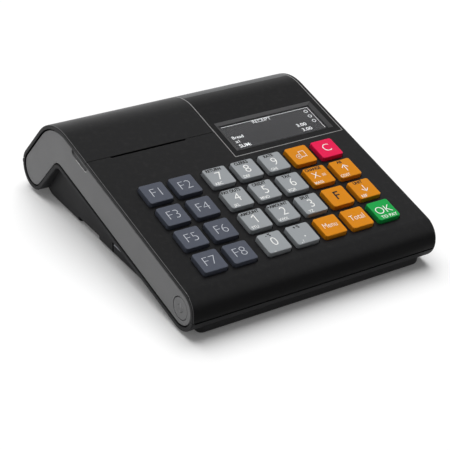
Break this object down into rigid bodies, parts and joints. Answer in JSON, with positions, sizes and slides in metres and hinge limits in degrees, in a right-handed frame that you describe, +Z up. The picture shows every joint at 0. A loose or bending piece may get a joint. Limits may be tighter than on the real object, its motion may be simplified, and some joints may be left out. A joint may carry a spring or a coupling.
{
  "type": "ticket register",
  "caption": "Compact sloping ticket register with a key field, a tilted display, a hinged lid over a built-in receipt printer and a wedge base.",
  "frame": {"origin": "middle of the footprint, on the surface that the register stands on", "axes": "+X to the right and +Y to the back as the operator sees it, +Z up"},
  "size_m": [0.191, 0.2128, 0.064],
  "materials": {
    "housing_dark": "fine satin moulded texture",
    "display_cover": "satin",
    "customer_frame": "satin",
    "trim_light": "satin",
    "lens": "clear moulded window",
    "lcd": "dark graphic display",
    "panel_grey": "fine satin moulded texture",
    "key_grey": "satin key cap",
    "key_slate": "satin key cap",
    "key_orange": "satin key cap",
    "key_pink": "satin key cap",
    "key_green": "satin key cap",
    "silicone": "moulded silicone",
    "board": "solder resist",
    "battery": "shrink sleeve",
    "rubber_black": "matte",
    "screw_steel": "zinc plated",
    "shaft_steel": "ground steel",
    "platen_rubber": "ground rubber",
    "gear_plastic": "acetal",
    "motor_can": "plated can",
    "mechanism_black": "moulded",
    "head_metal": "plate"
  },
  "bodies": {
    "housing": {"battery_door": "housing_dark", "battery_pack": "battery", "case_screws": "screw_steel", "customer_frame": "customer_frame", "customer_lcd": "lcd", "customer_window": "lens", "display_cover": "display_cover", "display_trim": "trim_light", "display_window": "lens", "keyboard_board": "board", "keypad_mat": "silicone", "left_side_panel": "panel_grey", "lid_hinge_pin": "screw_steel", "lower_housing": "housing_dark", "main_board": "board", "operator_lcd": "lcd", "paper_bucket": "mechanism_black", "printer_frame": "mechanism_black", "right_side_panel": "panel_grey", "rubber_feet": "rubber_black", "stepper_motor": "motor_can", "tear_bar": "shaft_steel", "thermal_head": "head_metal", "upper_housing": "housing_dark"},
    "lid": {"printer_lid": "housing_dark"},
    "platen": {"platen_shaft": "shaft_steel", "platen_roller": "platen_rubber", "platen_gear": "gear_plastic"},
    "idler": {"idler_gear": "gear_plastic"},
    "pinion": {"motor_pinion": "gear_plastic"},
    "power_button": {"power_button": "panel_grey"},
    "port_cover": {"port_cover": "housing_dark"},
    "key_0": {"key_0": "key_grey"},
    "key_1": {"key_1": "key_grey"},
    "key_2": {"key_2": "key_grey"},
    "key_3": {"key_3": "key_grey"},
    "key_4": {"key_4": "key_grey"},
    "key_5": {"key_5": "key_grey"},
    "key_6": {"key_6": "key_grey"},
    "key_7": {"key_7": "key_grey"},
    "key_8": {"key_8": "key_grey"},
    "key_9": {"key_9": "key_grey"},
    "key_clear": {"key_clear": "key_pink"},
    "key_dot": {"key_dot": "key_grey"},
    "key_down": {"key_down": "key_orange"},
    "key_f1": {"key_f1": "key_slate"},
    "key_f2": {"key_f2": "key_slate"},
    "key_f3": {"key_f3": "key_slate"},
    "key_f4": {"key_f4": "key_slate"},
    "key_f5": {"key_f5": "key_slate"},
    "key_f6": {"key_f6": "key_slate"},
    "key_f7": {"key_f7": "key_slate"},
    "key_f8": {"key_f8": "key_slate"},
    "key_function": {"key_function": "key_orange"},
    "key_menu": {"key_menu": "key_orange"},
    "key_multiply": {"key_multiply": "key_orange"},
    "key_ok": {"key_ok": "key_green"},
    "key_receipt": {"key_receipt": "key_orange"},
    "key_total": {"key_total": "key_orange"},
    "key_up": {"key_up": "key_orange"}
  },
  "joints": [
    {"name": "lid_hinge", "type": "hinge", "parent": "housing", "child": "lid", "pos_m": [-0.045, 0.10402, 0.01736], "axis": [-1, 0, 0], "range_deg": [0, 80]},
    {"name": "platen_spin", "type": "hinge", "parent": "lid", "child": "platen", "pos_m": [-0.048, 0.02952, 0.05035], "axis": [1, 0, 0], "continuous": true},
    {"name": "idler_spin", "type": "hinge", "parent": "housing", "child": "idler", "pos_m": [-0.0845, 0.02963, 0.03724], "axis": [1, 0, 0], "continuous": true},
    {"name": "pinion_spin", "type": "hinge", "parent": "housing", "child": "pinion", "pos_m": [-0.0845, 0.01877, 0.03483], "axis": [1, 0, 0], "continuous": true},
    {"name": "power_button_press", "type": "slide", "parent": "housing", "child": "power_button", "axis": [1, 0, 0], "range_m": [0, 0.0008], "stiffness_N_per_m": 400, "springref_m": -0.0003},
    {"name": "port_cover_hinge", "type": "hinge", "parent": "housing", "child": "port_cover", "pos_m": [-0.08692, -0.0187, 0.0084], "axis": [0, 1, 0], "range_deg": [0, 90]},
    {"name": "key_0_press", "type": "slide", "parent": "housing", "child": "key_0", "axis": [0, 0.2164, -0.9763], "range_m": [0, 0.002], "stiffness_N_per_m": 300, "springref_m": -0.0003},
    {"name": "key_1_press", "type": "slide", "parent": "housing", "child": "key_1", "axis": [0, 0.2164, -0.9763], "range_m": [0, 0.002], "stiffness_N_per_m": 300, "springref_m": -0.0003},
    {"name": "key_2_press", "type": "slide", "parent": "housing", "child": "key_2", "axis": [0, 0.2164, -0.9763], "range_m": [0, 0.002], "stiffness_N_per_m": 300, "springref_m": -0.0003},
    {"name": "key_3_press", "type": "slide", "parent": "housing", "child": "key_3", "axis": [0, 0.2164, -0.9763], "range_m": [0, 0.002], "stiffness_N_per_m": 300, "springref_m": -0.0003},
    {"name": "key_4_press", "type": "slide", "parent": "housing", "child": "key_4", "axis": [0, 0.2164, -0.9763], "range_m": [0, 0.002], "stiffness_N_per_m": 300, "springref_m": -0.0003},
    {"name": "key_5_press", "type": "slide", "parent": "housing", "child": "key_5", "axis": [0, 0.2164, -0.9763], "range_m": [0, 0.002], "stiffness_N_per_m": 300, "springref_m": -0.0003},
    {"name": "key_6_press", "type": "slide", "parent": "housing", "child": "key_6", "axis": [0, 0.2164, -0.9763], "range_m": [0, 0.002], "stiffness_N_per_m": 300, "springref_m": -0.0003},
    {"name": "key_7_press", "type": "slide", "parent": "housing", "child": "key_7", "axis": [0, 0.2164, -0.9763], "range_m": [0, 0.002], "stiffness_N_per_m": 300, "springref_m": -0.0003},
    {"name": "key_8_press", "type": "slide", "parent": "housing", "child": "key_8", "axis": [0, 0.2164, -0.9763], "range_m": [0, 0.002], "stiffness_N_per_m": 300, "springref_m": -0.0003},
    {"name": "key_9_press", "type": "slide", "parent": "housing", "child": "key_9", "axis": [0, 0.2164, -0.9763], "range_m": [0, 0.002], "stiffness_N_per_m": 300, "springref_m": -0.0003},
    {"name": "key_clear_press", "type": "slide", "parent": "housing", "child": "key_clear", "axis": [0, 0.2164, -0.9763], "range_m": [0, 0.002], "stiffness_N_per_m": 300, "springref_m": -0.0003},
    {"name": "key_dot_press", "type": "slide", "parent": "housing", "child": "key_dot", "axis": [0, 0.2164, -0.9763], "range_m": [0, 0.002], "stiffness_N_per_m": 300, "springref_m": -0.0003},
    {"name": "key_down_press", "type": "slide", "parent": "housing", "child": "key_down", "axis": [0, 0.2164, -0.9763], "range_m": [0, 0.002], "stiffness_N_per_m": 300, "springref_m": -0.0003},
    {"name": "key_f1_press", "type": "slide", "parent": "housing", "child": "key_f1", "axis": [0, 0.2164, -0.9763], "range_m": [0, 0.002], "stiffness_N_per_m": 300, "springref_m": -0.0003},
    {"name": "key_f2_press", "type": "slide", "parent": "housing", "child": "key_f2", "axis": [0, 0.2164, -0.9763], "range_m": [0, 0.002], "stiffness_N_per_m": 300, "springref_m": -0.0003},
    {"name": "key_f3_press", "type": "slide", "parent": "housing", "child": "key_f3", "axis": [0, 0.2164, -0.9763], "range_m": [0, 0.002], "stiffness_N_per_m": 300, "springref_m": -0.0003},
    {"name": "key_f4_press", "type": "slide", "parent": "housing", "child": "key_f4", "axis": [0, 0.2164, -0.9763], "range_m": [0, 0.002], "stiffness_N_per_m": 300, "springref_m": -0.0003},
    {"name": "key_f5_press", "type": "slide", "parent": "housing", "child": "key_f5", "axis": [0, 0.2164, -0.9763], "range_m": [0, 0.002], "stiffness_N_per_m": 300, "springref_m": -0.0003},
    {"name": "key_f6_press", "type": "slide", "parent": "housing", "child": "key_f6", "axis": [0, 0.2164, -0.9763], "range_m": [0, 0.002], "stiffness_N_per_m": 300, "springref_m": -0.0003},
    {"name": "key_f7_press", "type": "slide", "parent": "housing", "child": "key_f7", "axis": [0, 0.2164, -0.9763], "range_m": [0, 0.002], "stiffness_N_per_m": 300, "springref_m": -0.0003},
    {"name": "key_f8_press", "type": "slide", "parent": "housing", "child": "key_f8", "axis": [0, 0.2164, -0.9763], "range_m": [0, 0.002], "stiffness_N_per_m": 300, "springref_m": -0.0003},
    {"name": "key_function_press", "type": "slide", "parent": "housing", "child": "key_function", "axis": [0, 0.2164, -0.9763], "range_m": [0, 0.002], "stiffness_N_per_m": 300, "springref_m": -0.0003},
    {"name": "key_menu_press", "type": "slide", "parent": "housing", "child": "key_menu", "axis": [0, 0.2164, -0.9763], "range_m": [0, 0.002], "stiffness_N_per_m": 300, "springref_m": -0.0003},
    {"name": "key_multiply_press", "type": "slide", "parent": "housing", "child": "key_multiply", "axis": [0, 0.2164, -0.9763], "range_m": [0, 0.002], "stiffness_N_per_m": 300, "springref_m": -0.0003},
    {"name": "key_ok_press", "type": "slide", "parent": "housing", "child": "key_ok", "axis": [0, 0.2164, -0.9763], "range_m": [0, 0.002], "stiffness_N_per_m": 300, "springref_m": -0.0003},
    {"name": "key_receipt_press", "type": "slide", "parent": "housing", "child": "key_receipt", "axis": [0, 0.2164, -0.9763], "range_m": [0, 0.002], "stiffness_N_per_m": 300, "springref_m": -0.0003},
    {"name": "key_total_press", "type": "slide", "parent": "housing", "child": "key_total", "axis": [0, 0.2164, -0.9763], "range_m": [0, 0.002], "stiffness_N_per_m": 300, "springref_m": -0.0003},
    {"name": "key_up_press", "type": "slide", "parent": "housing", "child": "key_up", "axis": [0, 0.2164, -0.9763], "range_m": [0, 0.002], "stiffness_N_per_m": 300, "springref_m": -0.0003}
  ],
  "couplings": [
    {"joint": "idler_spin", "follows": "platen_spin", "ratio": -0.625},
    {"joint": "pinion_spin", "follows": "platen_spin", "ratio": 1.6667}
  ]
}
